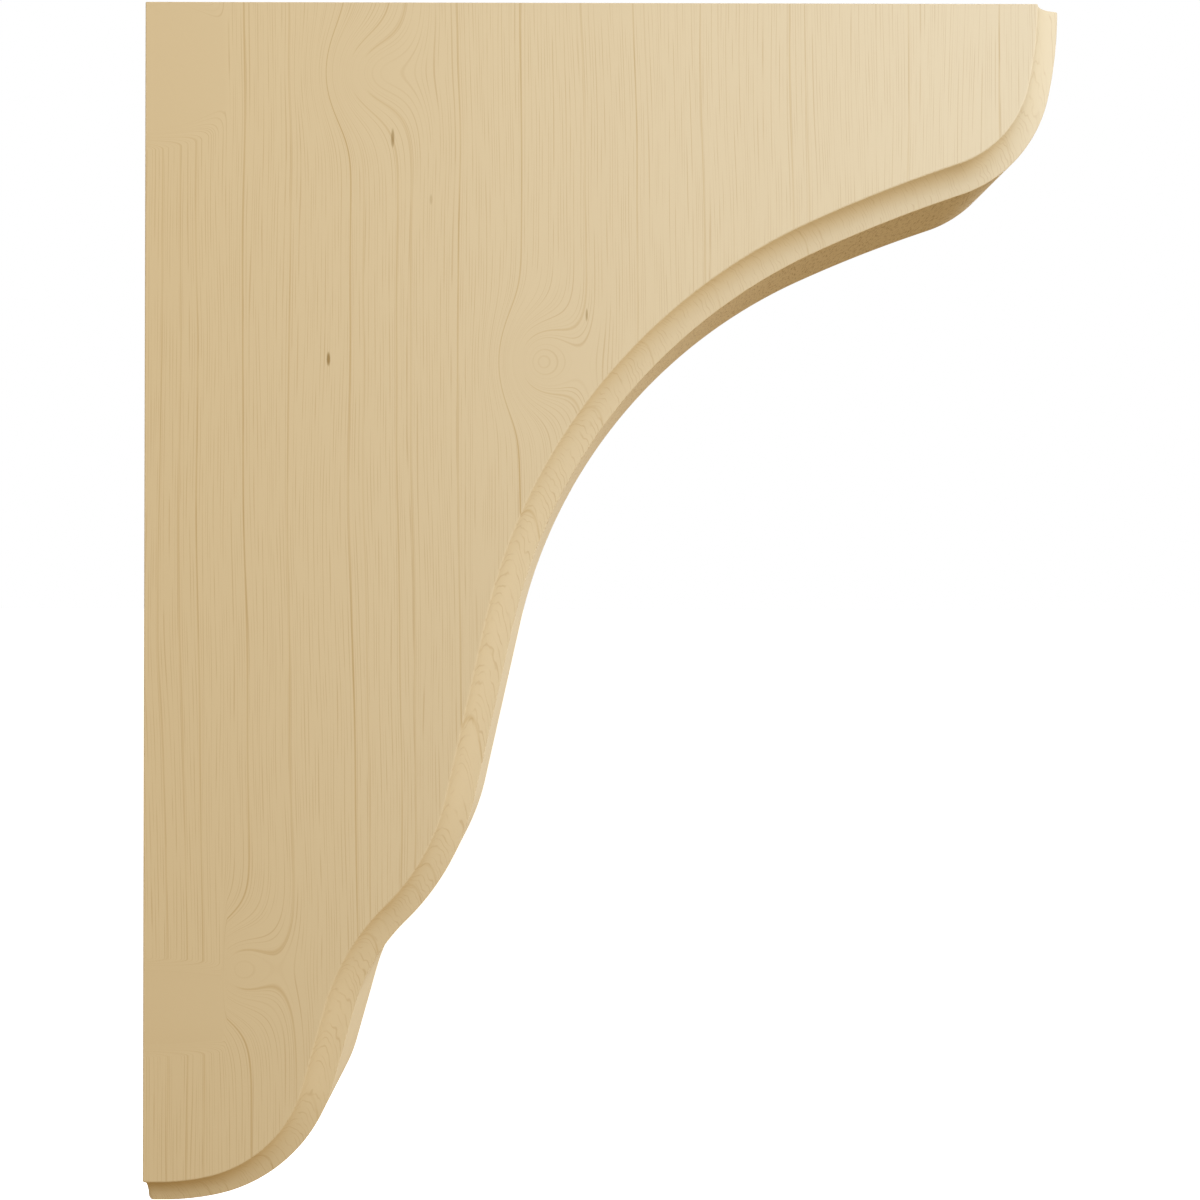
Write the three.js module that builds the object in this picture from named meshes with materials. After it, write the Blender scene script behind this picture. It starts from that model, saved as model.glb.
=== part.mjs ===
// A wooden corbel bracket, carved from one board: flat against the wall and under the shelf, with a front
// edge of tangent curves and a cove worked along that edge on both faces.
// Millimetres, +Z up. The origin is the middle of the wall face, +X points out from the wall, and the
// board's thickness lies along Y.
import * as THREE from "three";

// The board.
const HEIGHT = 254;
const PROJECTION = 193.3;
const THICKNESS = 44.45;

// The front edge, from the top of the nose down to the sole, drawn on the face. A round run turns at its
// radius until it points along its heading, and a straight run has a length. Heading 0 points out from the
// wall and 90 points up.
const TOP_HEADING = -90;
const NOSE_FRONT = { radius: 88, heading: -102.1 };
const NOSE_UNDERSIDE = { radius: 27.8, heading: -161.5 };
const HOLLOW_START = { radius: 310, heading: -155.4 };
const HOLLOW = { radius: 116, heading: -102.5 };
const SHANK = { length: 37.7 };
const SHOULDER = { radius: 52, heading: -135.7 };
const NOTCH = { radius: 41.5, heading: -105.5 };
const ANKLE = { length: 17.5 };
const TOE = { radius: 32.5, heading: -168 };
const SOLE_HEADING = -180;

// The moulding, drawn square to the front edge. Heading 0 points across the face towards the edge and 90
// points into the thickness: a small round lip, the hollow of the cove, then a straight slope to the arris.
const MOULDING_WIDTH = 5.9;
const FACE_HEADING = 0;
const LIP = { radius: 0.45, heading: 72 };
const COVE = { radius: 6.5, heading: 18 };

// The most that a flat facet cuts inside its true arc.
const FACET_SAG = 0.015;

const WOOD_COLOUR = 0xd9c49b;
const WOOD_ROUGHNESS = 0.6;

const radians = THREE.MathUtils.degToRad;

// The unit vector along a heading.
function along(heading) {
  return new THREE.Vector2(Math.cos(radians(heading)), Math.sin(radians(heading)));
}

// How many facets keep an arc within the allowed sag.
function facetCount(radius, turn) {
  const step = 2 * Math.acos(1 - FACET_SAG / radius);
  return Math.ceil(Math.abs(radians(turn)) / step);
}

// The station that lies a straight length further on.
function straightRun({ point, heading }, { length }) {
  return [{ point: along(heading).multiplyScalar(length).add(point), heading }];
}

// The stations round an arc that leaves a station without a corner. The centre is on the left of the path
// where the heading grows, and on the right where it shrinks.
function roundRun({ point, heading }, { radius, heading: newHeading }) {
  const turn = newHeading - heading;
  const reach = radius * Math.sign(turn);
  const centre = along(heading + 90).multiplyScalar(reach).add(point);
  const count = facetCount(radius, turn);
  return Array.from({ length: count }, (_, i) => {
    const here = heading + (turn * (i + 1)) / count;
    return { point: along(here + 90).multiplyScalar(-reach).add(centre), heading: here };
  });
}

// Follows a list of runs and returns the stations along them, each a point and a heading. A run that depends
// on where the one before it ended is given as a function of that station.
function follow(start, runs) {
  const stations = [start];
  for (const given of runs) {
    const end = stations.at(-1);
    const run = typeof given === "function" ? given(end) : given;
    stations.push(...("length" in run ? straightRun(end, run) : roundRun(end, run)));
  }
  return stations;
}

// The front edge. The sole's radius brings it level at the foot of the board, and the heel reaches the wall.
function frontEdge() {
  const start = { point: new THREE.Vector2(PROJECTION, HEIGHT / 2), heading: TOP_HEADING };
  const sole = ({ point, heading }) => ({
    radius: (point.y + HEIGHT / 2) / (1 + Math.cos(radians(heading))),
    heading: SOLE_HEADING,
  });
  const heel = ({ point }) => ({ length: point.x });
  return follow(start, [
    NOSE_FRONT,
    NOSE_UNDERSIDE,
    HOLLOW_START,
    HOLLOW,
    SHANK,
    SHOULDER,
    NOTCH,
    ANKLE,
    TOE,
    sole,
    heel,
  ]);
}

// The moulding's section from the face to the arris, as steps of inset from the front edge and depth from
// the face.
function mouldingSteps() {
  const start = { point: new THREE.Vector2(0, 0), heading: FACE_HEADING };
  const slope = ({ point, heading }) => ({ length: (MOULDING_WIDTH - point.x) / Math.cos(radians(heading)) });
  return follow(start, [LIP, COVE, slope]).map(({ point }) => ({
    inset: MOULDING_WIDTH - point.x,
    depth: point.y,
  }));
}

// One slice of the bracket: the front edge moved into the wood by the inset, then the top corner at the wall.
function slice(edge, inset) {
  const moved = edge.map(({ point, heading }) => along(heading - 90).multiplyScalar(inset).add(point));
  return [...moved, new THREE.Vector2(0, HEIGHT / 2)];
}

// The solid: slices from the front face to the back face, joined edge to edge and closed by the two faces.
function bracketGeometry() {
  const edge = frontEdge();
  const front = mouldingSteps().map(({ inset, depth }) => ({ inset, y: depth - THICKNESS / 2 }));
  const back = front.toReversed().map(({ inset, y }) => ({ inset, y: -y }));
  const levels = [...front, ...back];

  const slices = levels.map(({ inset }) => slice(edge, inset));
  const size = slices[0].length;
  const positions = slices.flatMap((points, k) => points.flatMap((p) => [p.x, levels[k].y, p.y]));

  const triangles = [];
  for (let k = 0; k + 1 < levels.length; k++) {
    for (let j = 0; j < size; j++) {
      const a = k * size + j;
      const b = k * size + ((j + 1) % size);
      triangles.push(a, b, b + size, a, b + size, a + size);
    }
  }
  const backStart = (levels.length - 1) * size;
  for (const [a, b, c] of THREE.ShapeUtils.triangulateShape(slices[0], [])) {
    triangles.push(a, b, c);
    triangles.push(backStart + a, backStart + c, backStart + b);
  }

  const geometry = new THREE.BufferGeometry();
  geometry.setAttribute("position", new THREE.Float32BufferAttribute(positions, 3));
  geometry.setIndex(triangles);
  return geometry;
}

const wood = new THREE.MeshStandardMaterial({
  color: WOOD_COLOUR,
  roughness: WOOD_ROUGHNESS,
  metalness: 0,
  flatShading: true,
});

const bracket = new THREE.Mesh(bracketGeometry(), wood);
bracket.name = "bracket";

const corbel = new THREE.Group();
corbel.add(bracket);

export default corbel;
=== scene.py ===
"""A wooden corbel bracket cut from one pale board: its smooth shape, its grain, and a plain studio round it.

Sizes of the wood are in millimetres in the fields below and in metres in the scene. +Z is up, +X points out
from the wall, and the board's thickness lies along Y with the shown face towards -Y.
"""

import logging
import math
from collections.abc import Sequence
from dataclasses import dataclass
from enum import Enum

import bpy
import numpy as np
from mathutils import Matrix, Vector
from numpy.typing import NDArray


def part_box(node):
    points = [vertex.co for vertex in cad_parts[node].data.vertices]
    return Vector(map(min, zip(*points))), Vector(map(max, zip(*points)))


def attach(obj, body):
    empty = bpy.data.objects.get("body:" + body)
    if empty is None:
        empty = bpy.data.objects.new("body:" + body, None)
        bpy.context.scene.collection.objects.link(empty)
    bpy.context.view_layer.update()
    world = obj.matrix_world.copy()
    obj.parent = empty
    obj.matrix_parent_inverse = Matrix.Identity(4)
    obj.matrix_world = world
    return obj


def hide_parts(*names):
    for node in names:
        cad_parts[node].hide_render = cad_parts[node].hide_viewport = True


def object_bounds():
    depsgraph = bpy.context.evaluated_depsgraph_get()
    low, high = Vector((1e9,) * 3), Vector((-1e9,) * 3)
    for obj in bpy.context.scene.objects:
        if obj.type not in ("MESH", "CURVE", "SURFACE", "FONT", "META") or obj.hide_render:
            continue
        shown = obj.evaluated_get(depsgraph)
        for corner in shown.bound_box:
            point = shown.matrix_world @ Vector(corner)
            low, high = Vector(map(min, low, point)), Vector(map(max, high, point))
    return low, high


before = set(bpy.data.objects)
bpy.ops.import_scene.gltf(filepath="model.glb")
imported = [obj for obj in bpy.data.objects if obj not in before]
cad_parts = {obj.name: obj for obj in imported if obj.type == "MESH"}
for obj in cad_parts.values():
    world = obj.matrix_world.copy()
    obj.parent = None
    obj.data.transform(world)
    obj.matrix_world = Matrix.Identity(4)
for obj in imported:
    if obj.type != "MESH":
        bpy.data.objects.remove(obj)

CAD_BOX: tuple[Vector, Vector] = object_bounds()
NODE = "bracket"
BODY = "root"
MM = 0.001
PHOTO_PIXELS = 1200
SENSOR_MM = 36.0
WHITE = (1.0, 1.0, 1.0, 1.0)

Floats = NDArray[np.float64]
Colour = tuple[float, float, float]
Socket = bpy.types.NodeSocket
Wire = Socket | float

log = logging.getLogger("corbel")


@dataclass(frozen=True)
class Arc:
    """A round run of a path: it turns at its radius until it points along its heading.

    Attributes:
        radius: Radius in millimetres.
        heading: Direction at its end in degrees, 0 along the first axis and 90 along the second.
    """

    radius: float
    heading: float


@dataclass(frozen=True)
class Straight:
    """A straight run of a path, with its length in millimetres."""

    length: float


Run = Arc | Straight


@dataclass(frozen=True)
class Trail:
    """Stations along a plane path.

    Attributes:
        points: Places of the stations, one row of two millimetre values each.
        headings: Directions of the path at the stations, in degrees.
    """

    points: Floats
    headings: Floats

    def outward(self) -> Floats:
        """Unit vectors to the left of the path, a quarter turn on from each heading."""
        return unit(self.headings + 90.0)

    def then(self, run: Run, steps: int) -> "Trail":
        """Goes on along one more run without a corner.

        A straight run adds equal lengths along the last heading. A round run keeps its centre one radius to
        the side that it turns to, and each station is the centre less that reach along its own left side.

        Args:
            run: The arc or straight to follow.
            steps: How many stations to add.

        Returns:
            The longer trail.
        """
        last = self.points[-1]
        heading = self.headings[-1]
        share = np.arange(1, steps + 1) / steps
        if isinstance(run, Straight):
            headings = np.full(steps, heading)
            points = last + np.outer(share * run.length, unit(heading))
        else:
            turn = run.heading - heading
            reach = run.radius * np.sign(turn)
            headings = heading + share * turn
            centre = last + unit(heading + 90.0) * reach
            points = centre - unit(headings + 90.0) * reach
        return Trail(np.vstack([self.points, points]), np.concatenate([self.headings, headings]))


def unit(heading: Floats | float) -> Floats:
    """Unit vectors along headings in degrees: the cosine and the sine, side by side."""
    angle = np.radians(heading)
    return np.stack([np.cos(angle), np.sin(angle)], axis=-1)


def run_length(trail: Trail, run: Run) -> float:
    """The length of a run: its own, or for an arc the radius times the angle that it turns.

    Args:
        trail: The path that the run goes on from.
        run: The arc or straight.

    Returns:
        The length in millimetres.
    """
    if isinstance(run, Straight):
        return run.length
    return run.radius * abs(math.radians(run.heading - trail.headings[-1]))


@dataclass(frozen=True)
class FrontEdge:
    """The double-curved front edge of the board, from the top of the nose down to the heel at the wall.

    Attributes:
        nose_front, nose_underside: The two arcs round the nose.
        hollow_start, hollow: The easy and the tight part of the hollow below it.
        shank: The straight below the hollow.
        shoulder, notch: The swell and the small hollow under it.
        ankle: The straight above the toe.
        toe: The round of the foot.
        start_heading: Direction at the top, straight down.
        sole_heading: Direction at the heel, level and towards the wall.
        station_gap: Length between stations.
    """

    nose_front: Arc = Arc(88.0, -102.1)
    nose_underside: Arc = Arc(27.8, -161.5)
    hollow_start: Arc = Arc(310.0, -155.4)
    hollow: Arc = Arc(116.0, -102.5)
    shank: Straight = Straight(37.7)
    shoulder: Arc = Arc(52.0, -135.7)
    notch: Arc = Arc(41.5, -105.5)
    ankle: Straight = Straight(17.5)
    toe: Arc = Arc(32.5, -168.0)
    start_heading: float = -90.0
    sole_heading: float = -180.0
    station_gap: float = 0.9

    def trail(self, projection: float, height: float) -> Trail:
        """Follows the runs. The sole's radius brings it level at the foot, and the heel reaches the wall.

        Args:
            projection: How far the top reaches out from the wall.
            height: The board's height, half of it above the origin.

        Returns:
            The stations of the whole edge.
        """
        trail = Trail(np.array([[projection, height / 2]]), np.array([self.start_heading]))
        named = (self.nose_front, self.nose_underside, self.hollow_start, self.hollow, self.shank,
                 self.shoulder, self.notch, self.ankle, self.toe)
        for run in named:
            trail = self._follow(trail, run)
        rise = trail.points[-1, 1] + height / 2
        sole_radius = rise / (1.0 + math.cos(math.radians(trail.headings[-1])))
        trail = self._follow(trail, Arc(sole_radius, self.sole_heading))
        return self._follow(trail, Straight(trail.points[-1, 0]))

    def _follow(self, trail: Trail, run: Run) -> Trail:
        """Adds one run, with stations at the usual gap."""
        return trail.then(run, math.ceil(run_length(trail, run) / self.station_gap))


@dataclass(frozen=True)
class Moulding:
    """The section of the worked edge, drawn square to it: lip, cove, slope, arris, then half of the band.

    Attributes:
        width: From the lip to the front edge, across the face.
        lip: The small round where the face turns down.
        cove: The hollow.
        arris_radius: Easing of the sharp edge between the slope and the band.
        lip_steps, cove_steps, slope_steps, arris_steps, band_steps: Stations in each part.
        hold: Length of the short run beside a small round that keeps the flat next to it looking flat.
    """

    width: float = 5.9
    lip: Arc = Arc(0.45, 72.0)
    cove: Arc = Arc(6.5, 18.0)
    arris_radius: float = 0.22
    lip_steps: int = 6
    cove_steps: int = 12
    slope_steps: int = 3
    arris_steps: int = 4
    band_steps: int = 5
    hold: float = 0.12

    def half_section(self, thickness: float) -> Trail:
        """The section from the face to the middle of the thickness.

        The slope runs to where it would meet the band, less the tangent length of the arris, which is the
        radius times the tangent of half the turn.

        Args:
            thickness: The board's thickness.

        Returns:
            Stations as distance across from the lip and depth from the face.
        """
        trail = Trail(np.zeros((1, 2)), np.zeros(1))
        trail = trail.then(self.lip, self.lip_steps).then(self.cove, self.cove_steps)
        tangent = self.arris_radius * math.tan(math.radians((90.0 - self.cove.heading) / 2))
        slope = (self.width - trail.points[-1, 0]) / math.cos(math.radians(self.cove.heading)) - tangent
        trail = trail.then(Straight(slope - self.hold), self.slope_steps).then(Straight(self.hold), 1)
        trail = trail.then(Arc(self.arris_radius, 90.0), self.arris_steps).then(Straight(self.hold), 1)
        return trail.then(Straight(thickness / 2 - trail.points[-1, 1]), self.band_steps)


@dataclass(frozen=True)
class Levels:
    """The slices that the board is built from, front to back.

    Attributes:
        inset: How far the front edge is moved into the wood at each slice.
        y: Place of each slice along the thickness.
        ease: How far the straight edges are moved in by their easing at each slice.
        heel: Radius of the corner at the heel at each slice.
    """

    inset: Floats
    y: Floats
    ease: Floats
    heel: Floats


@dataclass
class Bracket:
    """The bracket: one solid board with a moulding worked along its front edge on both faces.

    Attributes:
        edge: The front edge.
        moulding: The section along it.
        ease_radius: Easing of the straight edges at the wall and the top.
        nose_corner, top_corner: Radii of the corners at the nose's top and at the wall's top.
        heel_corner: Radii of the corner at the heel, at the lip and at the arris.
        corner_steps: Stations round each corner.
        straight_gap: Length between stations along the wall and the top.
        pole: The point of each face that its rings close on, from the wall and up.
        face_rings: Places of a face's rings, as shares of the way from its outline to the pole.
    """

    edge: FrontEdge = FrontEdge()
    moulding: Moulding = Moulding()
    ease_radius: float = 0.25
    nose_corner: float = 0.3
    top_corner: float = 0.25
    heel_corner: tuple[float, float] = (0.4, 1.0)
    corner_steps: int = 6
    straight_gap: float = 9.0
    pole: tuple[float, float] = (12.0, 115.0)
    face_rings: tuple[float, ...] = (0.15, 0.35, 0.55, 0.75, 0.9)

    def __post_init__(self) -> None:
        """Takes the board's outer sizes from the frame."""
        low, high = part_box(NODE)
        self.projection, self.thickness, self.height = (np.array(high - low) / MM).tolist()

    def levels(self) -> Levels:
        """Works out the slices: the half section from the shown face in, then its mirror image.

        The easing of a straight edge is a quarter round: at a depth less than its radius the edge stands in
        by the radius less the height of the round there.

        Returns:
            The slices from the shown face to the hidden one.
        """
        section = self.moulding.half_section(self.thickness).points
        inset = self.moulding.width - section[:, 0]
        depth = section[:, 1]
        left = np.clip(self.ease_radius - depth, 0.0, None)
        ease = self.ease_radius - np.sqrt(self.ease_radius**2 - left**2)
        lip_radius, arris_radius = self.heel_corner
        heel = arris_radius + (lip_radius - arris_radius) * inset / self.moulding.width
        mirrored = slice(-2, None, -1)
        return Levels(
            inset=np.concatenate([inset, inset[mirrored]]),
            y=np.concatenate([depth, self.thickness - depth[mirrored]]) - self.thickness / 2,
            ease=np.concatenate([ease, ease[mirrored]]),
            heel=np.concatenate([heel, heel[mirrored]]),
        )

    def corner(self, centre: Floats, radius: Floats, start: float, end: float) -> Floats:
        """Stations round a corner of every slice: its centre plus the radius along each turning normal.

        Args:
            centre: Centres, one row for each slice.
            radius: Radii, one for each slice.
            start: Direction of the first station from the centre, in degrees.
            end: Direction of the last one.

        Returns:
            Points as slices by stations by two.
        """
        round_the_corner = unit(np.linspace(start, end, self.corner_steps))
        return centre[:, None, :] + radius[:, None, None] * round_the_corner

    def straight(self, start: Floats, end: Floats) -> Floats:
        """Stations along a straight edge of every slice, with a short one at each end beside the corners.

        Args:
            start: First points, one row for each slice.
            end: Last points.

        Returns:
            Points between the two, as slices by stations by two.
        """
        length = float(np.linalg.norm(end - start, axis=1).max())
        hold = self.moulding.hold / length
        share = np.linspace(0.0, 1.0, math.ceil(length / self.straight_gap))[1:-1]
        share = np.concatenate([[hold], share, [1.0 - hold]])
        return start[:, None, :] + share[None, :, None] * (end - start)[:, None, :]

    def outlines(self, levels: Levels) -> Floats:
        """The closed outline of every slice, seen square to the face.

        It goes round the nose's top corner, down the front edge moved in along its left side by the inset,
        round the heel, up the wall, round the top corner and out along the top.

        Args:
            levels: The slices.

        Returns:
            Points as slices by stations by two.
        """
        trail = self.edge.trail(self.projection, self.height)
        top = self.height / 2
        clear = self.ease_radius + max(self.nose_corner, *self.heel_corner) + self.moulding.hold
        inside = (trail.points[:, 1] < top - clear) & (trail.points[:, 0] > clear)
        moved = trail.points - levels.inset[:, None, None] * trail.outward()
        front = moved[:, inside]

        nose_radius = np.full_like(levels.inset, self.nose_corner)
        top_radius = np.full_like(levels.inset, self.top_corner)
        nose = np.stack([self.projection - levels.inset, top - levels.ease], axis=1) - nose_radius[:, None]
        heel = np.stack([levels.ease, levels.inset - top], axis=1) + levels.heel[:, None]
        wall_top = np.stack([levels.ease + top_radius, top - levels.ease - top_radius], axis=1)
        corners = (
            self.corner(nose, nose_radius, 90.0, 0.0),
            self.corner(heel, levels.heel, -90.0, -180.0),
            self.corner(wall_top, top_radius, 180.0, 90.0),
        )
        wall = self.straight(corners[1][:, -1], corners[2][:, 0])
        top_edge = self.straight(corners[2][:, -1], corners[0][:, 0])
        return np.concatenate([corners[0], front, corners[1], wall, corners[2], top_edge], axis=1)

    def face(self, outline: Floats, y: float) -> Floats:
        """The rings of a flat face: its outline drawn towards the pole by shares of the way.

        The first ring lies a short fixed length inside the outline, so that the face stays flat beside it.

        Args:
            outline: The face's outline.
            y: Place of the face along the thickness.

        Returns:
            Points as rings by stations by three, from the outline in.
        """
        pole = np.array(self.pole)
        reach = np.linalg.norm(outline - pole, axis=1)
        first = self.moulding.hold / reach
        shares = np.vstack([first, np.repeat(np.array(self.face_rings)[:, None], len(outline), axis=1)])
        rings = outline + shares[:, :, None] * (pole - outline)
        return lay_at(rings, np.full(len(rings), y))

    def mesh(self) -> bpy.types.Mesh:
        """Builds the whole surface as one grid that closes on a pole in the middle of each face.

        One parameter runs round the outline. The other runs from the pole of the shown face out over its
        rings, down through the slices and in over the rings of the hidden face.

        Returns:
            The mesh, in metres.
        """
        levels = self.levels()
        outlines = self.outlines(levels)
        shown = self.face(outlines[0], levels.y[0])[::-1]
        hidden = self.face(outlines[-1], levels.y[-1])
        grid = np.concatenate([shown, lay_at(outlines, levels.y), hidden])
        poles = np.array([[self.pole[0], y, self.pole[1]] for y in levels.y[[0, -1]]])
        return closed_grid_mesh(NODE, grid * MM, poles * MM)

    def build(self, finish: "PaleWood") -> bpy.types.Object:
        """Makes the bracket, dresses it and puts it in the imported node's place.

        Args:
            finish: The wood.

        Returns:
            The finished piece.
        """
        mesh = self.mesh()
        mesh.shade_smooth()
        mesh.materials.append(finish.material(-self.thickness / 2, self.projection))
        piece = bpy.data.objects.new("corbel_board", mesh)
        bpy.context.scene.collection.objects.link(piece)
        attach(piece, BODY)
        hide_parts(NODE)
        return piece


def lay_at(points: Floats, y: Floats) -> Floats:
    """Stands plane points up in space, each row at its own place along the thickness.

    Args:
        points: Rows of points of two values, out from the wall and up.
        y: Place of each row.

    Returns:
        The same rows with three values to a point.
    """
    depth = np.broadcast_to(y[:, None], points.shape[:2])
    return np.stack([points[..., 0], depth, points[..., 1]], axis=-1)


def closed_grid_mesh(name: str, grid: Floats, poles: Floats) -> bpy.types.Mesh:
    """Makes a closed mesh of a grid whose rows are closed rings, with a pole before the first row and after
    the last. Each four neighbours are a quad, and the end rows are fans of triangles round their poles.

    Args:
        name: The mesh's name.
        grid: Points as rows by stations by three.
        poles: The two poles.

    Returns:
        The mesh.
    """
    rows, stations, _ = grid.shape
    index = np.arange(rows * stations).reshape(rows, stations)
    after = np.roll(index, -1, axis=1)
    quads = np.stack([index[:-1], after[:-1], after[1:], index[1:]], axis=-1).reshape(-1, 4)
    first_pole = rows * stations
    last_pole = first_pole + 1
    start_fan = np.stack([after[0], index[0], np.full(stations, first_pole)], axis=-1)
    end_fan = np.stack([index[-1], after[-1], np.full(stations, last_pole)], axis=-1)
    mesh = bpy.data.meshes.new(name)
    points = np.vstack([grid.reshape(-1, 3), poles])
    mesh.from_pydata(points.tolist(), [], [*quads.tolist(), *start_fan.tolist(), *end_fan.tolist()])
    mesh.validate()
    return mesh


class Op(Enum):
    """Arithmetic that a value in a material may be worked out with."""

    ADD = "ADD"
    TAKE = "SUBTRACT"
    TIMES = "MULTIPLY"
    TIMES_ADD = "MULTIPLY_ADD"
    SIZE = "ABSOLUTE"
    LARGER = "MAXIMUM"
    ZIGZAG = "PINGPONG"
    ROOT = "SQRT"
    EXPONENT = "EXPONENT"


class Blend(Enum):
    """How one colour is laid over another."""

    MIX = "MIX"
    TINT = "MULTIPLY"


@dataclass(frozen=True)
class Sketch:
    """Adds nodes to one node tree and wires them up."""

    tree: bpy.types.NodeTree

    def node(self, kind: str, **inputs: Wire | Sequence[float]) -> bpy.types.Node:
        """Adds a node.

        Args:
            kind: Blender's name for the node's type.
            inputs: Values or wires for its inputs, by the inputs' names with _ for a space.

        Returns:
            The node.
        """
        made = self.tree.nodes.new(kind)
        for name, value in inputs.items():
            self.feed(made.inputs[name.replace("_", " ")], value)
        return made

    def feed(self, socket: Socket, value: Wire | Sequence[float]) -> None:
        """Wires a value to an input, or sets it there if it is a constant.

        Args:
            socket: The input.
            value: What it gets.
        """
        if isinstance(value, Socket):
            self.tree.links.new(value, socket)
        else:
            socket.default_value = value

    def math(self, op: Op, *values: Wire, clamp: bool = False) -> Socket:
        """Works out a value from up to three others.

        Args:
            op: The arithmetic.
            values: The values, in order.
            clamp: Whether to keep the result between 0 and 1.

        Returns:
            The result.
        """
        made = self.node("ShaderNodeMath")
        made.operation = op.value
        made.use_clamp = clamp
        for socket, value in zip(made.inputs, values):
            self.feed(socket, value)
        return made.outputs[0]

    def ramp(self, value: Wire, start: float, end: float) -> Socket:
        """A smooth step.

        Args:
            value: What it follows.
            start: The value at which it is 0.
            end: The value at which it is 1.

        Returns:
            The step.
        """
        made = self.node("ShaderNodeMapRange", Value=value, From_Min=start, From_Max=end)
        made.interpolation_type = "SMOOTHSTEP"
        return made.outputs["Result"]

    def noise(self, place: Socket, cells: Sequence[float]) -> Socket:
        """Smooth noise between 0 and 1 with one finer layer in it, about one half on average.

        Args:
            place: Where it is read, as a vector in millimetres.
            cells: Size of its cells along each axis.

        Returns:
            The noise.
        """
        shrink = self.node("ShaderNodeVectorMath")
        shrink.operation = "DIVIDE"
        self.feed(shrink.inputs[0], place)
        self.feed(shrink.inputs[1], cells)
        made = self.node("ShaderNodeTexNoise", Vector=shrink.outputs[0], Scale=1.0, Detail=1.0)
        return made.outputs["Fac"]

    def apart(self, point: Sequence[Wire], middle: Sequence[float], reach: Sequence[float]) -> Socket:
        """How far a point is from a middle, squared and measured in reaches along each axis.

        Args:
            point: The point.
            middle: The middle.
            reach: The length of one reach along each axis.

        Returns:
            The sum of the squares.
        """
        total: Wire = 0.0
        for value, centre, length in zip(point, middle, reach):
            off = self.math(Op.TIMES_ADD, value, 1.0 / length, -centre / length)
            total = self.math(Op.TIMES_ADD, off, off, total)
        return total

    def colour(self, blend: Blend, under: Wire | Sequence[float], over: Wire | Sequence[float],
               share: Wire) -> Socket:
        """Lays one colour over another.

        Args:
            blend: How it is laid.
            under: The colour below.
            over: The colour on top.
            share: How much of the top one shows.

        Returns:
            The new colour.
        """
        made = self.node("ShaderNodeMix")
        made.data_type = "RGBA"
        made.blend_type = blend.value
        sockets = {s.identifier: s for s in made.inputs}
        self.feed(sockets["Factor_Float"], share)
        self.feed(sockets["A_Color"], under)
        self.feed(sockets["B_Color"], over)
        return next(s for s in made.outputs if s.identifier == "Result_Color")


@dataclass(frozen=True)
class Spot:
    """A point of the wood as a material's nodes see it, in millimetres.

    Attributes:
        place: The point.
        out, up, depth: Its distance from the wall, its height and its depth from the shown face.
    """

    place: Socket
    out: Socket
    up: Socket
    depth: Socket

    def axes(self) -> tuple[Socket, Socket, Socket]:
        """The distance from the wall, the height and the depth."""
        return self.out, self.up, self.depth


@dataclass(frozen=True)
class Cut:
    """How the surface cuts through the wood at a point.

    Attributes:
        face: How far it lies in a flat face, along the grain, from 0 to 1.
        end_grain: How far it cuts across the fibres, from 0 to 1.
        sawn: How far it lies square to the faces, from 0 to 1.
    """

    face: Socket
    end_grain: Socket
    sawn: Socket

    def on_face(self, sketch: Sketch, least: float) -> Socket:
        """A share that is whole in a face and falls to the least off it."""
        return sketch.math(Op.TIMES_ADD, self.face, 1.0 - least, least)


@dataclass(frozen=True)
class Figure:
    """How the grain runs at a point.

    Attributes:
        ring: Where the point's ring would meet the shown face if nothing bent it, out from the wall.
        grain: The ring's place, the depth and the height as one vector, which noise is read at.
        clear: How far the point lies in clear wood, from 0 to 1.
        knot: How far it lies in the swell round a knot, from 0 to 1.
    """

    ring: Socket
    grain: Socket
    clear: Wire
    knot: Wire


@dataclass(frozen=True)
class Mottle:
    """A layer of smooth noise in the wood.

    Attributes:
        cells: Size of its cells along each axis.
        amount: How much it adds where it is highest.
    """

    cells: tuple[float, float, float]
    amount: float

    def added(self, sketch: Sketch, place: Socket, value: Wire) -> Socket:
        """A value plus the noise at a place."""
        return sketch.math(Op.TIMES_ADD, sketch.noise(place, self.cells), self.amount, value)


@dataclass(frozen=True)
class Swirl:
    """A place where the growth rings swell towards the wall round a small knot.

    Attributes:
        place: Its middle on the shown face, out from the wall and up.
        lift: How far the rings are pushed at the middle.
        spread: How far it reaches towards the wall, away from it, and up or down.
    """

    place: tuple[float, float]
    lift: float
    spread: tuple[float, float, float]


@dataclass(frozen=True)
class Clear:
    """A patch of clear wood at the wall that the growth rings turn round, as beside a branch.

    Attributes:
        height: Height of its middle.
        reach: How far it would reach out from the wall, and half of its height.
        ring: The ring that fills it, by its distance from the wall elsewhere.
    """

    height: float
    reach: tuple[float, float]
    ring: float


@dataclass(frozen=True)
class Fleck:
    """A small dark fleck in the wood.

    Attributes:
        place: Its middle on the shown face, out from the wall and up.
        half: Half of its width and of its height.
        shade: How dark it is, from 0 to 1.
    """

    place: tuple[float, float]
    half: tuple[float, float]
    shade: float


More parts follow.
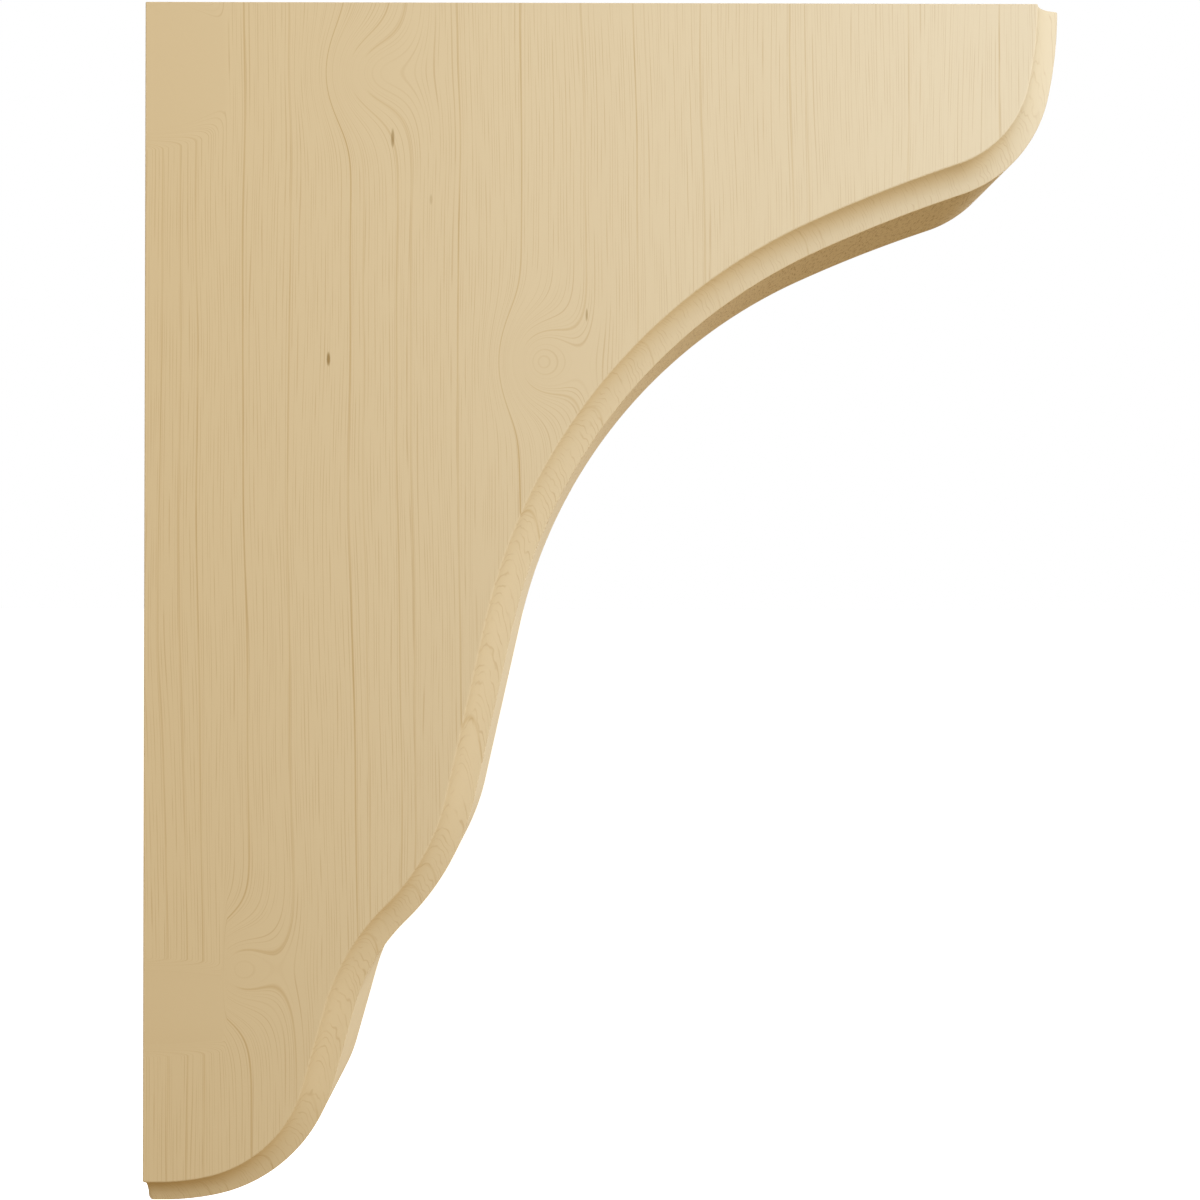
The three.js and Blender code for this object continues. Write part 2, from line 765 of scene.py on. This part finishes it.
@dataclass(frozen=True)
class Growth:
    """How the growth rings run through the board.

    Attributes:
        slant: How far a ring moves out from the wall for each millimetre of depth.
        bow: How much the slant eases off with depth.
        lean: How far a ring leans towards the wall for each millimetre of height.
        lean_from: The height at which it stands as it would upright.
        stray: Noise that lets a ring stray.
        swirls, clears: What bends the rings.
        clear_core: Share of a clear patch's reach inside which it is whole.
        knot_depth: How deep a swirl or a clear patch reaches.
        break_line: Where the rings break off, out from the wall. The clear patches bend only those nearer
            the wall, and the swirls only those beyond it.
        break_blur: Half of the width that the break is softened over.
    """

    slant: float = 0.8
    bow: float = 0.005
    lean: float = 0.010
    lean_from: float = 79.0
    stray: Mottle = Mottle((26.0, 60.0, 75.0), 4.0)
    swirls: tuple[Swirl, ...] = (
        Swirl((44.7, 112.0), 10.5, (5.7, 7.8, 7.1)),
        Swirl((81.5, 51.5), 14.25, (4.7, 6.0, 6.6)),
        Swirl((17.4, -76.6), 14.5, (7.0, 7.0, 7.0)),
    )
    clears: tuple[Clear, ...] = (
        Clear(113.5, (25.5, 17.8), 17.5),
        Clear(-84.6, (40.0, 10.5), 17.5),
    )
    clear_core: float = 0.73
    knot_depth: float = 16.0
    break_line: float = 17.1
    break_blur: float = 0.7

    def figure(self, sketch: Sketch, spot: Spot) -> Figure:
        """Works out how the grain runs at a point.

        Args:
            sketch: The material's nodes.
            spot: The point.

        Returns:
            The grain there.
        """
        near = sketch.ramp(spot.out, self.break_line + self.break_blur, self.break_line - self.break_blur)
        ring, clear = self.past_clears(sketch, spot, self.plain_ring(sketch, spot), near)
        ring, knot = self.past_swirls(sketch, spot, ring, sketch.math(Op.TAKE, 1.0, near))
        grain = sketch.node("ShaderNodeCombineXYZ", X=ring, Y=spot.depth, Z=spot.up).outputs[0]
        return Figure(ring, grain, clear, knot)

    def plain_ring(self, sketch: Sketch, spot: Spot) -> Socket:
        """The ring at a point before anything bends it.

        The distance out is taken back by the slant times the depth, less the bow times the depth's square.
        The lean adds to it with height, and noise lets it stray to both sides by up to half of its amount.

        Args:
            sketch: The material's nodes.
            spot: The point.

        Returns:
            The ring, by its distance from the wall on the shown face.
        """
        level = -self.lean * self.lean_from - self.stray.amount / 2
        lean = sketch.math(Op.TIMES_ADD, spot.up, self.lean, level)
        ring = sketch.math(Op.ADD, self.stray.added(sketch, spot.place, spot.out), lean)
        slant = sketch.math(Op.TIMES_ADD, spot.depth, self.bow, -self.slant)
        return sketch.math(Op.TIMES_ADD, spot.depth, slant, ring)

    def past_clears(self, sketch: Sketch, spot: Spot, ring: Socket, near: Socket) -> tuple[Socket, Wire]:
        """Turns the rings round the clear patches: in one, a ring nearer the wall becomes the patch's own.

        Args:
            sketch: The material's nodes.
            spot: The point.
            ring: The ring so far.
            near: How far the point lies on the wall's side of the break, from 0 to 1.

        Returns:
            The ring, and how far the point lies in clear wood.
        """
        clear: Wire = 0.0
        for patch in self.clears:
            away = sketch.apart(spot.axes(), (0.0, patch.height, 0.0), (*patch.reach, self.knot_depth))
            inside = sketch.ramp(sketch.math(Op.ROOT, away), 1.0, self.clear_core)
            inside = sketch.math(Op.TIMES, inside, near)
            short = sketch.math(Op.LARGER, sketch.math(Op.TAKE, patch.ring, ring), 0.0)
            ring = sketch.math(Op.TIMES_ADD, inside, short, ring)
            clear = sketch.math(Op.LARGER, clear, inside)
        return ring, clear

    def past_swirls(self, sketch: Sketch, spot: Spot, ring: Socket, beyond: Socket) -> tuple[Socket, Wire]:
        """Lets the rings swell round the knots: each swirl adds its lift times a bell curve, which is wider
        on the side away from the wall.

        Args:
            sketch: The material's nodes.
            spot: The point.
            ring: The ring so far.
            beyond: How far the point lies beyond the break, from 0 to 1.

        Returns:
            The ring, and how far the point lies in the swell round a knot.
        """
        knot: Wire = 0.0
        for swirl in self.swirls:
            before, after, tall = swirl.spread
            past = sketch.math(Op.LARGER, sketch.math(Op.TAKE, spot.out, swirl.place[0]), 0.0)
            eased = sketch.math(Op.TIMES_ADD, past, before / after - 1.0, spot.out)
            reach = (before, tall, self.knot_depth)
            away = sketch.apart((eased, spot.up, spot.depth), (*swirl.place, 0.0), reach)
            bell = sketch.math(Op.EXPONENT, sketch.math(Op.TIMES, away, -0.5))
            bell = sketch.math(Op.TIMES, bell, beyond)
            ring = sketch.math(Op.TIMES_ADD, bell, swirl.lift, ring)
            knot = sketch.math(Op.LARGER, knot, bell)
        return ring, knot


@dataclass(frozen=True)
class RingEdges:
    """The dark edges of the strongest growth rings.

    Attributes:
        edges: Where each meets the shown face, out from the wall, and its strength.
        half_width: Half of an edge's width.
        fade: Noise that lets the edges fade and strengthen along the grain.
        fade_from: Their strength where that noise is lowest.
        knot_core: Where in the swell round a knot they begin to be lost, and where they are lost.
        off_face: Share of them that is left off the face.
    """

    edges: tuple[tuple[float, float], ...] = (
        (3.0, 0.35), (7.2, 0.4), (10.8, 0.4), (20.9, 0.55), (30.3, 0.4), (43.1, 0.7), (45.9, 0.3),
        (52.8, 0.4), (55.8, 0.4), (65.7, 0.5), (79.3, 0.7), (92.4, 0.4), (103.1, 0.45), (117.4, 0.35),
        (135.3, 0.5), (138.6, 0.3), (160.9, 0.3), (179.9, 0.45),
    )
    half_width: float = 0.26
    fade: Mottle = Mottle((6.0, 9.0, 45.0), 2.2)
    fade_from: float = -0.1
    knot_core: tuple[float, float] = (0.7, 0.92)
    off_face: float = 0.55

    def marks(self, sketch: Sketch, figure: Figure, cut: Cut) -> Socket:
        """How dark the edges make a point: each is a peak with straight sides. They come and go along the
        grain, are weaker off the face and are lost in clear wood and knots.

        Args:
            sketch: The material's nodes.
            figure: The grain there.
            cut: How the surface cuts it.

        Returns:
            The darkness, from 0 to 1.
        """
        total: Wire = 0.0
        for edge, strength in self.edges:
            off = sketch.math(Op.SIZE, sketch.math(Op.TAKE, figure.ring, edge))
            peak = sketch.math(Op.TIMES_ADD, off, -1.0 / self.half_width, 1.0, clamp=True)
            total = sketch.math(Op.TIMES_ADD, peak, strength, total)
        fade = self.fade.added(sketch, figure.grain, self.fade_from)
        fade = sketch.math(Op.TIMES, fade, cut.on_face(sketch, self.off_face))
        lost = sketch.math(Op.LARGER, figure.clear, sketch.ramp(figure.knot, *self.knot_core))
        kept = sketch.math(Op.TIMES, fade, sketch.math(Op.TAKE, 1.0, lost))
        return sketch.math(Op.TIMES, total, kept, clamp=True)


@dataclass(frozen=True)
class Fibres:
    """The fine dark fibres between the ring edges, and the streaks among them.

    Attributes:
        gap: Usual gap between fibres.
        half_width: Half of a fibre's width, as a share of the gap.
        shade: How much a fibre darkens the tone.
        ground: The tone between them.
        crowding: Noise that crowds and spreads the fibres, in gaps.
        tangle: Noise that lets them stray off the face, where they are cut at a slant, in gaps.
        patches: Cells of the noise that lets the fibres come and go.
        patch_edge: Where on that noise they are gone, and where they are whole.
        streaks: Streaks and broad bands along the grain.
        clear_loss: How much of it all is lost in clear wood.
        knot_loss: How far the swell round a knot counts as clear wood.
        off_face: Share of it all that is left off the face.
    """

    gap: float = 0.62
    half_width: float = 0.18
    shade: float = 0.8
    ground: float = 0.5
    crowding: Mottle = Mottle((2.4, 9.0, 120.0), 3.5)
    tangle: Mottle = Mottle((2.2, 2.2, 3.6), 1.6)
    patches: tuple[float, float, float] = (0.8, 2.5, 15.0)
    patch_edge: tuple[float, float] = (0.35, 0.68)
    streaks: tuple[Mottle, ...] = (Mottle((1.5, 9.0, 150.0), 0.06), Mottle((9.0, 30.0, 260.0), 0.08))
    clear_loss: float = 0.85
    knot_loss: float = 0.9
    off_face: float = 0.65

    def tone(self, sketch: Sketch, spot: Spot, figure: Figure, cut: Cut) -> Socket:
        """How light the wood is at a point.

        The ring is counted in gaps, and noise crowds or spreads the count. A fibre stands at each whole count
        and fades to both sides, and the streaks add to it. All of it is weaker in clear wood, in knots and
        off the face.

        Args:
            sketch: The material's nodes.
            spot: The point.
            figure: The grain there.
            cut: How the surface cuts it.

        Returns:
            The tone, from 0 for the darkest fibres to 1 for the lightest.
        """
        count = sketch.math(Op.TIMES, figure.ring, 1.0 / self.gap)
        count = self.crowding.added(sketch, figure.grain, count)
        tangle = self.tangle.added(sketch, spot.place, 0.0)
        count = sketch.math(Op.TIMES_ADD, tangle, sketch.math(Op.TAKE, 1.0, cut.face), count)
        fibre = sketch.ramp(sketch.math(Op.ZIGZAG, count, 0.5), self.half_width, 0.0)
        patch = sketch.ramp(sketch.noise(figure.grain, self.patches), *self.patch_edge)
        total = sketch.math(Op.TIMES, sketch.math(Op.TIMES, fibre, patch), -self.shade)
        for streak in self.streaks:
            total = streak.added(sketch, figure.grain, total)
        still = sketch.math(Op.LARGER, figure.clear, sketch.math(Op.TIMES, figure.knot, self.knot_loss))
        left = sketch.math(Op.TIMES_ADD, still, -self.clear_loss, 1.0)
        left = sketch.math(Op.TIMES, left, cut.on_face(sketch, self.off_face))
        return sketch.math(Op.TIMES_ADD, total, left, self.ground, clamp=True)


@dataclass(frozen=True)
class Pores:
    """The open pores of the end grain.

    Attributes:
        cells: Cells of their noise, drawn out along the thickness.
        peaks: Where on that noise a pore begins, and where it is darkest.
    """

    cells: tuple[float, float, float] = (0.35, 2.2, 0.35)
    peaks: tuple[float, float] = (0.5, 0.72)

    def marks(self, sketch: Sketch, spot: Spot, cut: Cut) -> Socket:
        """How dark the pores make a point: peaks of noise where the fibres are cut across.

        Args:
            sketch: The material's nodes.
            spot: The point.
            cut: How the surface cuts the wood.

        Returns:
            The darkness, from 0 to 1.
        """
        peaks = sketch.ramp(sketch.noise(spot.place, self.cells), *self.peaks)
        return sketch.math(Op.TIMES, peaks, sketch.math(Op.TIMES, cut.end_grain, cut.sawn))


@dataclass(frozen=True)
class PaleWood:
    """Bare pale hardwood, planed and sanded, with its grain upright.

    The wood is solid: each ring is a surface that runs up through the board and slants back through its
    thickness, so the rings show as upright lines on the faces, as arches on the cove and as slanting
    stripes on the end grain. All lengths are in millimetres.

    Attributes:
        painted_shade_at_wall, painted_light_at_nose: Colours of the wood nearest the wall and furthest from
        it. The change between them is painted
            light: paler and cooler towards the nose, where the lamps fall on it most, and deeper towards the
                wall.
        dark, light: Tints of the darkest and the lightest fibres.
        ring_tint, fleck_tint: Tints of a ring's edge and of a fleck.
        end_grain_and_shade_tint, pore_tint: Tints of the end grain and of the pores in it. The end grain's
            tint warms every surface facing
            up or down: it is the end grain's own colour, and partly painted warm shade on the undersides.
        growth, rings, fibres, pores: What the grain is made of.
        flecks: The dark flecks of the shown face.
        fleck_depth: How deep they reach.
        fleck_edge: Where a fleck starts and where it is whole, as its distance from the middle squared.
        face_turn, sawn_turn: How much of the surface's normal lies along the thickness where a face, and a
            cut square to the faces, starts and is whole.
        end_turn: How much of it lies along the grain where end grain starts and is whole.
        roughness: Roughness of the darkest and the lightest fibres.
        sheen: How strongly the wood mirrors.
        relief_strength, relief: How strongly the fibres' relief shows, and its height.
    """

    # Painted light: the colour at the nose is paler and cooler than at the wall, for the lamps' light falling
    # on that side.
    painted_shade_at_wall: Colour = (0.694, 0.539, 0.296)
    painted_light_at_nose: Colour = (0.686, 0.579, 0.381)
    dark: Colour = (0.895, 0.853, 0.795)
    light: Colour = (1.105, 1.147, 1.205)
    ring_tint: Colour = (0.75, 0.64, 0.45)
    fleck_tint: Colour = (0.52, 0.44, 0.28)
    # Partly painted shade: this warm tint on surfaces facing up or down is the end grain's colour, and it
    # also warms the undersides as shade would.
    end_grain_and_shade_tint: Colour = (1.05, 0.99, 0.88)
    pore_tint: Colour = (0.70, 0.62, 0.50)
    growth: Growth = Growth()
    rings: RingEdges = RingEdges()
    fibres: Fibres = Fibres()
    pores: Pores = Pores()
    flecks: tuple[Fleck, ...] = (
        Fleck((52.1, 98.4), (0.42, 2.3), 0.75),
        Fleck((38.7, 51.9), (0.45, 1.7), 1.0),
        Fleck((93.0, 61.3), (0.28, 1.6), 0.65),
        Fleck((60.2, 85.5), (0.35, 1.3), 0.3),
    )
    fleck_depth: float = 1.0
    fleck_edge: tuple[float, float] = (1.1, 0.1)
    face_turn: tuple[float, float] = (0.9, 0.99)
    sawn_turn: tuple[float, float] = (0.3, 0.1)
    end_turn: tuple[float, float] = (0.3, 0.9)
    roughness: tuple[float, float] = (0.54, 0.66)
    sheen: float = 0.25
    relief_strength: float = 0.25
    relief: float = 0.04

    def material(self, face_y: float, projection: float) -> bpy.types.Material:
        """Makes the material.

        Args:
            face_y: Place of the shown face along the thickness.
            projection: How far the board reaches out from the wall.

        Returns:
            The material.
        """
        material = bpy.data.materials.new("pale_wood")
        material.use_nodes = True
        sketch = Sketch(material.node_tree)
        coordinates = sketch.node("ShaderNodeTexCoord")
        spot = self.spot(sketch, coordinates.outputs["Object"], face_y)
        cut = self.cut(sketch, coordinates.outputs["Normal"])
        figure = self.growth.figure(sketch, spot)
        tone = self.fibres.tone(sketch, spot, figure, cut)

        # Painted light: the wood's colour runs from deeper at the wall to paler and cooler at the nose, where
        # the lamps light it most.
        outwards = sketch.math(Op.TIMES, spot.out, 1.0 / projection, clamp=True)
        wood = sketch.colour(Blend.MIX, (*self.painted_shade_at_wall, 1.0), (*self.painted_light_at_nose, 1.0), outwards)
        tint = sketch.colour(Blend.MIX, (*self.dark, 1.0), (*self.light, 1.0), tone)
        layers = (
            (tint, 1.0),
            ((*self.ring_tint, 1.0), self.rings.marks(sketch, figure, cut)),
            ((*self.fleck_tint, 1.0), self.fleck_marks(sketch, spot)),
            # End grain's own warmer colour, and partly painted warm shade on the surfaces facing down.
            ((*self.end_grain_and_shade_tint, 1.0), cut.end_grain),
            ((*self.pore_tint, 1.0), self.pores.marks(sketch, spot, cut)),
        )
        for over, share in layers:
            wood = sketch.colour(Blend.TINT, wood, over, share)

        smooth, rough = self.roughness
        shader = material.node_tree.nodes["Principled BSDF"]
        sketch.feed(shader.inputs["Base Color"], wood)
        sketch.feed(shader.inputs["Roughness"], sketch.math(Op.TIMES_ADD, tone, rough - smooth, smooth))
        sketch.feed(shader.inputs["Specular IOR Level"], self.sheen)
        bump = sketch.node("ShaderNodeBump", Height=tone, Strength=self.relief_strength,
                           Distance=self.relief * MM)
        sketch.feed(shader.inputs["Normal"], bump.outputs["Normal"])
        return material

    def spot(self, sketch: Sketch, metres: Socket, face_y: float) -> Spot:
        """Turns object coordinates into millimetres from the wall, up and into the shown face.

        Args:
            sketch: The material's nodes.
            metres: The object coordinates.
            face_y: Place of the shown face along the thickness.

        Returns:
            The point.
        """
        scale = sketch.node("ShaderNodeVectorMath")
        scale.operation = "SCALE"
        sketch.feed(scale.inputs["Vector"], metres)
        sketch.feed(scale.inputs["Scale"], 1.0 / MM)
        split = sketch.node("ShaderNodeSeparateXYZ", Vector=scale.outputs[0])
        depth = sketch.math(Op.TAKE, split.outputs["Y"], face_y)
        return Spot(scale.outputs[0], split.outputs["X"], split.outputs["Z"], depth)

    def cut(self, sketch: Sketch, normal: Socket) -> Cut:
        """Works out how the surface cuts the wood, from the parts of its normal along each axis.

        Args:
            sketch: The material's nodes.
            normal: The surface's normal.

        Returns:
            The cut.
        """
        facing = sketch.node("ShaderNodeSeparateXYZ", Vector=normal)
        through = sketch.math(Op.SIZE, facing.outputs["Y"])
        upright = sketch.math(Op.SIZE, facing.outputs["Z"])
        return Cut(
            face=sketch.ramp(through, *self.face_turn),
            end_grain=sketch.ramp(upright, *self.end_turn),
            sawn=sketch.ramp(through, *self.sawn_turn),
        )

    def fleck_marks(self, sketch: Sketch, spot: Spot) -> Socket:
        """How dark the flecks make a point: each is a soft-edged ellipse a little way into the face.

        Args:
            sketch: The material's nodes.
            spot: The point.

        Returns:
            The darkness, from 0 to 1.
        """
        total: Wire = 0.0
        for fleck in self.flecks:
            away = sketch.apart(spot.axes(), (*fleck.place, 0.0), (*fleck.half, self.fleck_depth))
            total = sketch.math(Op.TIMES_ADD, sketch.ramp(away, *self.fleck_edge), fleck.shade, total)
        return total


@dataclass(frozen=True)
class Eye:
    """The camera: square to the face, with the picture a touch turned and off centre.

    Attributes:
        place: Out from the wall and up, in millimetres.
        distance: From the shown face.
        focal_pixels: Focal length in pixels of the photograph.
        centre_pixel: Where the line of sight meets the photograph.
        roll: Turn of the camera about its line of sight, in degrees.
        nearest: How near the camera sees, in metres.
    """

    place: tuple[float, float] = (94.775, 5.925)
    distance: float = 324.83
    focal_pixels: float = 1544.4
    centre_pixel: tuple[float, float] = (594.5, 578.25)
    roll: float = 0.144
    nearest: float = 0.01

    def build(self, face_y: float) -> bpy.types.Object:
        """Makes the camera and looks through it.

        Args:
            face_y: Place of the shown face along the thickness, in millimetres.

        Returns:
            The camera.
        """
        lens = bpy.data.cameras.new("eye")
        lens.sensor_width = SENSOR_MM
        lens.lens = SENSOR_MM * self.focal_pixels / PHOTO_PIXELS
        lens.shift_x = 0.5 - self.centre_pixel[0] / PHOTO_PIXELS
        lens.shift_y = self.centre_pixel[1] / PHOTO_PIXELS - 0.5
        lens.clip_start = self.nearest
        camera = bpy.data.objects.new("eye", lens)
        place = Vector((self.place[0], face_y - self.distance, self.place[1])) * MM
        level = Matrix.Rotation(math.radians(90.0), 4, "X")
        turned = Matrix.Rotation(math.radians(self.roll), 4, "Z")
        camera.matrix_world = Matrix.Translation(place) @ level @ turned
        bpy.context.scene.collection.objects.link(camera)
        bpy.context.scene.camera = camera
        return camera


@dataclass(frozen=True)
class Lamp:
    """A round soft lamp that points at the bracket and isn't seen itself.

    Attributes:
        name: What it is called.
        way: Direction to it from the middle of the bracket.
        distance: How far off it is, in metres.
        size: Its diameter in metres.
        watts: Its power.
        colour: Its colour.
        mirrored: Whether the wood's sheen shows it.
    """

    name: str
    way: tuple[float, float, float]
    distance: float
    size: float
    watts: float
    colour: Colour
    mirrored: bool = True

    def build(self, middle: Vector) -> bpy.types.Object:
        """Makes the lamp.

        Args:
            middle: The middle of the bracket.

        Returns:
            The lamp.
        """
        light = bpy.data.lights.new(self.name, "AREA")
        light.shape = "DISK"
        light.size = self.size
        light.energy = self.watts
        light.color = self.colour
        lamp = bpy.data.objects.new(self.name, light)
        way = Vector(self.way).normalized()
        turn = (-way).to_track_quat("-Z", "Y").to_matrix().to_4x4()
        lamp.matrix_world = Matrix.Translation(middle + way * self.distance) @ turn
        lamp.visible_camera = False
        lamp.visible_glossy = self.mirrored
        bpy.context.scene.collection.objects.link(lamp)
        return lamp


@dataclass(frozen=True)
class Studio:
    """A plain white studio: a pale floor well below, white all round, and soft lamps.

    Attributes:
        lamps: The lamps.
        air: Colour of the light that comes from all round.
        floor_drop: How far the floor lies below the bracket, in metres.
        floor_half: Half of the floor's width, in metres.
        floor_shade, floor_roughness, floor_glow: How light, rough and bright of itself the floor is.
    """

    lamps: tuple[Lamp, ...] = (
        Lamp("upper_key", (0.5, -0.71, 0.5), 0.8, 0.4, 2.5, (0.86, 1.0, 1.29)),
        Lamp("right_key", (0.66, -0.71, 0.24), 1.0, 0.4, 4.7, (0.95, 1.0, 1.08)),
        Lamp("left_key", (-0.66, -0.57, 0.48), 1.4, 0.8, 2.8, (0.84, 1.0, 1.3)),
        Lamp("rim", (0.55, 0.78, 0.33), 1.4, 0.8, 18.5, (0.79, 1.0, 1.5), mirrored=False),
        Lamp("low_fill", (0.45, 0.5, -0.74), 1.4, 0.8, 2.0, (1.14, 0.95, 0.65), mirrored=False),
        Lamp("back_fill", (-0.65, 0.75, 0.12), 1.6, 0.9, 10.0, (1.0, 1.0, 1.0)),
    )
    air: Colour = (0.37, 0.28, 0.16)
    floor_drop: float = 0.5
    floor_half: float = 30.0
    floor_shade: float = 0.9
    floor_roughness: float = 0.8
    floor_glow: float = 0.9

    def build(self, box: tuple[Vector, Vector]) -> list[bpy.types.Object]:
        """Makes the lamps, the floor and the white round them.

        Args:
            box: The bracket's lowest and highest corner.

        Returns:
            The lamps and the floor.
        """
        low, high = box
        lamps = [lamp.build((low + high) / 2) for lamp in self.lamps]
        self.surround()
        return [*lamps, self.floor(low.z - self.floor_drop)]

    def surround(self) -> None:
        """White where the camera looks past the bracket, and a dim warm light from all round elsewhere."""
        world = bpy.data.worlds.new("studio")
        world.use_nodes = True
        sketch = Sketch(world.node_tree)
        air = world.node_tree.nodes["Background"]
        air.inputs["Color"].default_value = (*self.air, 1.0)
        white = sketch.node("ShaderNodeBackground", Color=WHITE)
        seen = sketch.node("ShaderNodeLightPath").outputs["Is Camera Ray"]
        both = sketch.node("ShaderNodeMixShader", Fac=seen)
        sketch.feed(both.inputs[1], air.outputs[0])
        sketch.feed(both.inputs[2], white.outputs[0])
        sketch.feed(world.node_tree.nodes["World Output"].inputs["Surface"], both.outputs[0])
        bpy.context.scene.world = world

    def floor(self, height: float) -> bpy.types.Object:
        """A plain white floor that throws no light back up.

        Args:
            height: Where it lies, in metres.

        Returns:
            The floor.
        """
        half = self.floor_half
        mesh = bpy.data.meshes.new("floor")
        corners = [(-half, -half, height), (half, -half, height), (half, half, height), (-half, half, height)]
        mesh.from_pydata(corners, [], [(0, 1, 2, 3)])
        material = bpy.data.materials.new("white_floor")
        material.use_nodes = True
        shader = material.node_tree.nodes["Principled BSDF"]
        shade = self.floor_shade
        shader.inputs["Base Color"].default_value = (shade, shade, shade, 1.0)
        shader.inputs["Roughness"].default_value = self.floor_roughness
        shader.inputs["Emission Color"].default_value = WHITE
        shader.inputs["Emission Strength"].default_value = self.floor_glow
        mesh.materials.append(material)
        floor = bpy.data.objects.new("floor", mesh)
        floor.visible_diffuse = False
        floor.visible_glossy = False
        floor.visible_shadow = False
        bpy.context.scene.collection.objects.link(floor)
        return floor


def main() -> None:
    """Builds the bracket, the camera and the studio in order, and reports each."""
    bracket = Bracket()
    piece = bracket.build(PaleWood())
    log.info("%s: %d faces", piece.name, len(piece.data.polygons))
    camera = Eye().build(-bracket.thickness / 2)
    log.info("%s: lens %.2f mm", camera.name, camera.data.lens)
    for item in Studio().build(CAD_BOX):
        log.info("%s: made", item.name)
    bpy.context.scene.view_settings.view_transform = "Standard"


if __name__ == "__main__":
    logging.basicConfig(level=logging.INFO)
    main()
